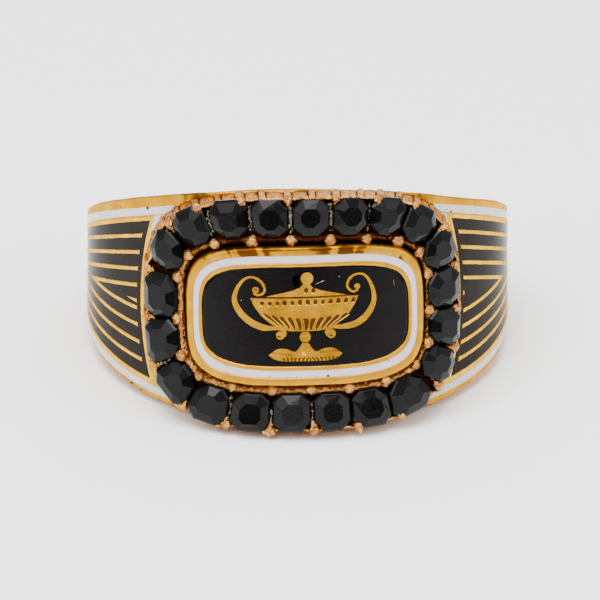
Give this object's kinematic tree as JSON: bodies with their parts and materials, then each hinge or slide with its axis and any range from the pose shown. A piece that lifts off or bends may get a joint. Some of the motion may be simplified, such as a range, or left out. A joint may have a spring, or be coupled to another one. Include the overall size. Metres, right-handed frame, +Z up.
{
  "type": "mourning ring",
  "caption": "Georgian style mourning ring: tapered gold hoop with black and white enamel shoulders and a head of black stones round an enamelled urn, lying on its side.",
  "frame": {"origin": "centre of the finger hole, half way along it", "axes": "the ring lies on its side as on a table: +Z up, the head faces -Y and leans a little upwards, +X to the right of someone facing the head"},
  "size_m": [0.02, 0.0225, 0.0117],
  "materials": {
    "yellow_gold": "polished yellow gold, softly worn",
    "engraved_gold": "bright engraved yellow gold",
    "rose_gold": "polished rose gold with brown tarnish in the recesses",
    "white_enamel": "opaque white enamel, glossy, with a few pits",
    "black_enamel": "opaque black enamel, glossy",
    "black_stone": "faceted black stone, glassy polish"
  },
  "bodies": {
    "root": {"hoop": "yellow_gold", "panel_tray": "yellow_gold", "urn": "engraved_gold", "setting": "rose_gold", "white_enamel_left": "white_enamel", "white_enamel_right": "white_enamel", "panel_white_enamel": "white_enamel", "black_enamel_left": "black_enamel", "black_enamel_right": "black_enamel", "panel_black_enamel": "black_enamel", "stone_01": "black_stone", "stone_02": "black_stone", "stone_03": "black_stone", "stone_04": "black_stone", "stone_05": "black_stone", "stone_06": "black_stone", "stone_07": "black_stone", "stone_08": "black_stone", "stone_09": "black_stone", "stone_10": "black_stone", "stone_11": "black_stone", "stone_12": "black_stone", "stone_13": "black_stone", "stone_14": "black_stone", "stone_15": "black_stone", "stone_16": "black_stone", "stone_17": "black_stone", "stone_18": "black_stone", "stone_19": "black_stone", "stone_20": "black_stone", "stone_21": "black_stone"}
  },
  "joints": []
}
